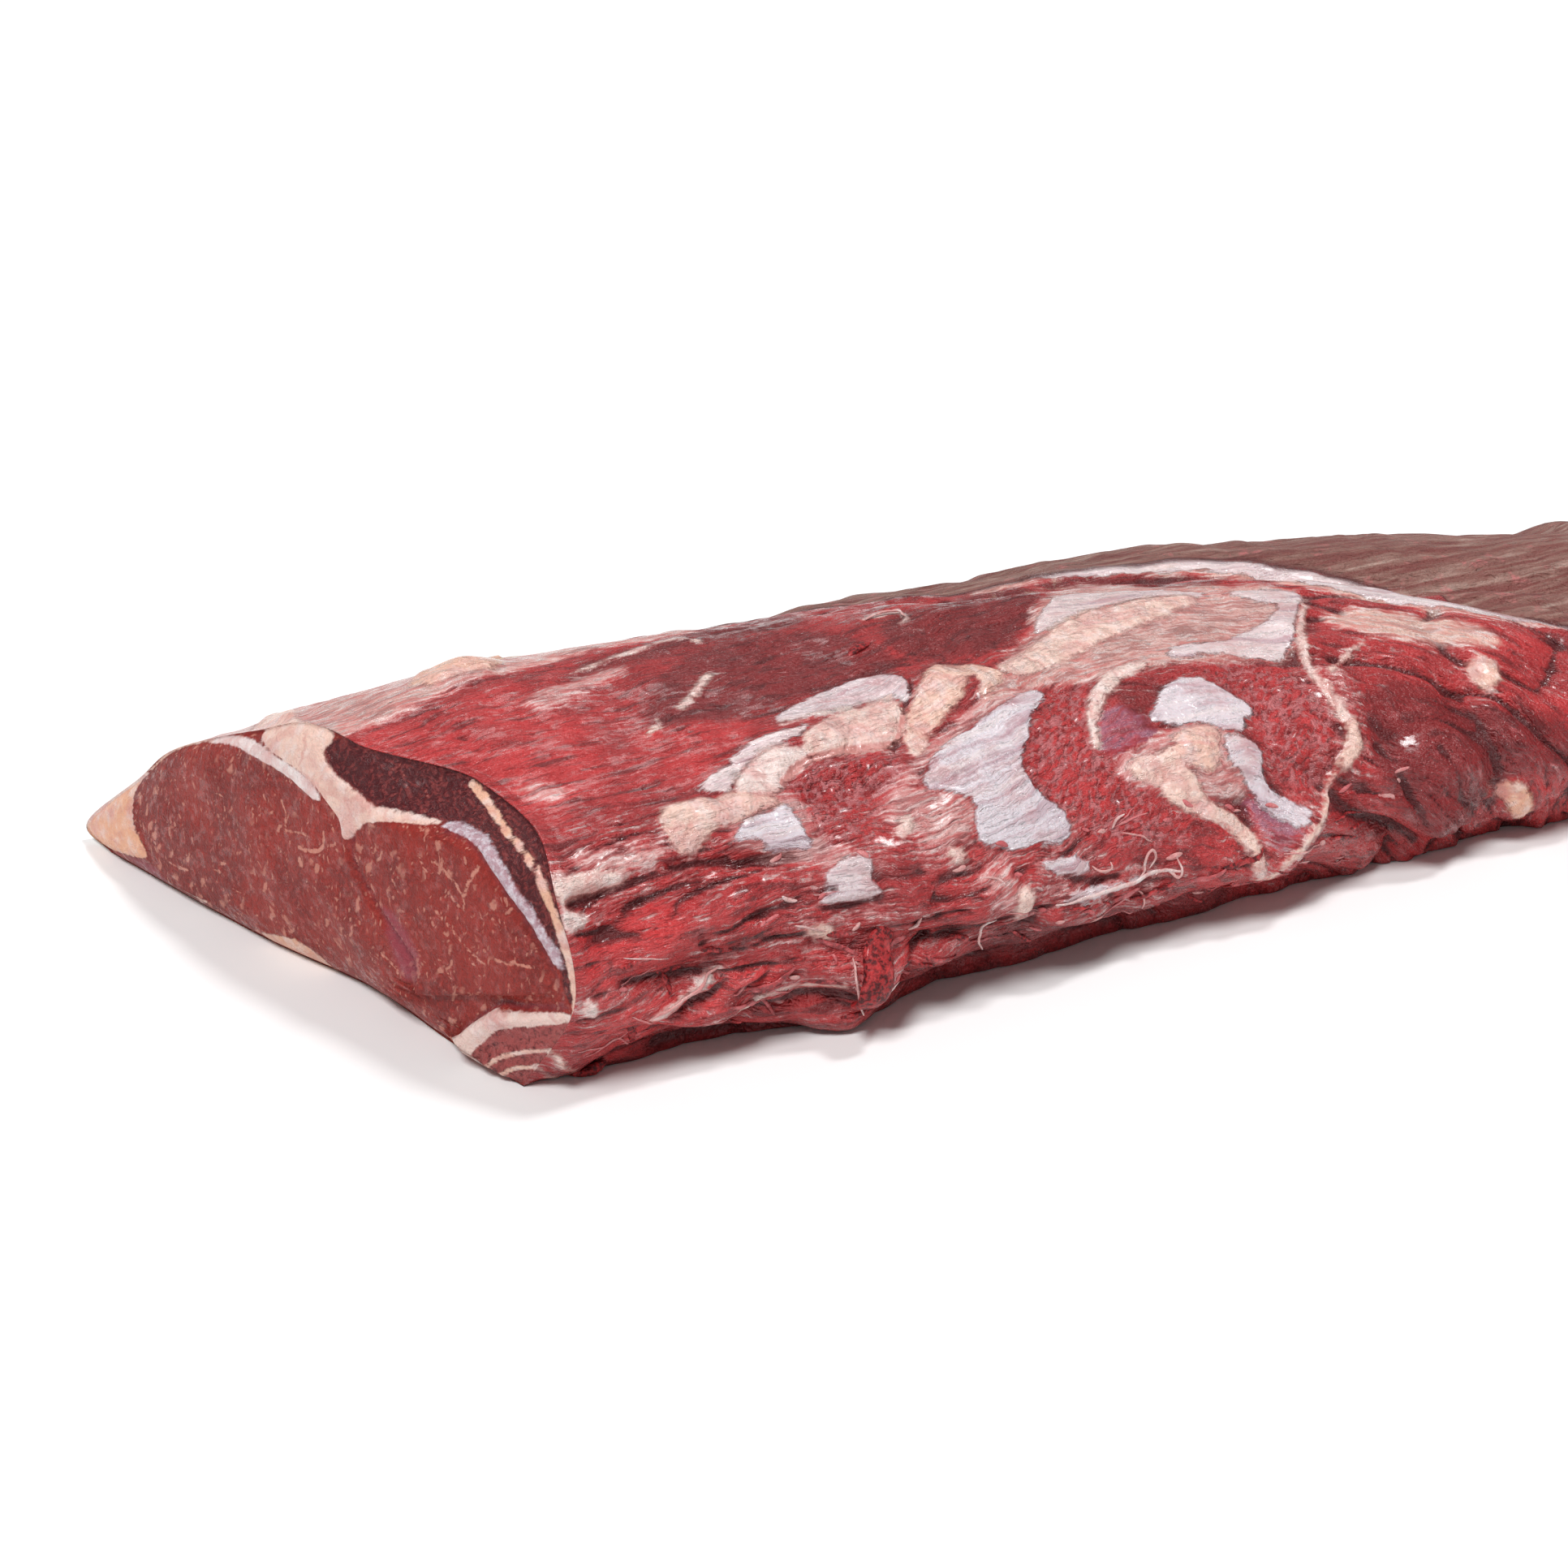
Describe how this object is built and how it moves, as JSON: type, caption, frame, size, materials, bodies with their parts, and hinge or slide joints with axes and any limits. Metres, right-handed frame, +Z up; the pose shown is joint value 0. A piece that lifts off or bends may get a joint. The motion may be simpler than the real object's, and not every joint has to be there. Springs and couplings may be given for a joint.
{
  "type": "raw wagyu ribeye roast",
  "caption": "Long boneless raw beef rib-eye roast with a slanting cut face, fat seams, silverskin and a ragged lean surface, lying on its flat side.",
  "frame": {"origin": "middle of the bounding box's base, on the flat side that the roast lies on", "axes": "+X along the roast from the cut face to the far end, +Y across it to the back, +Z up"},
  "size_m": [0.553, 0.229, 0.0842],
  "materials": {
    "raw_beef": null
  },
  "bodies": {
    "root": {"ribeye_roast": "raw_beef"}
  },
  "joints": []
}
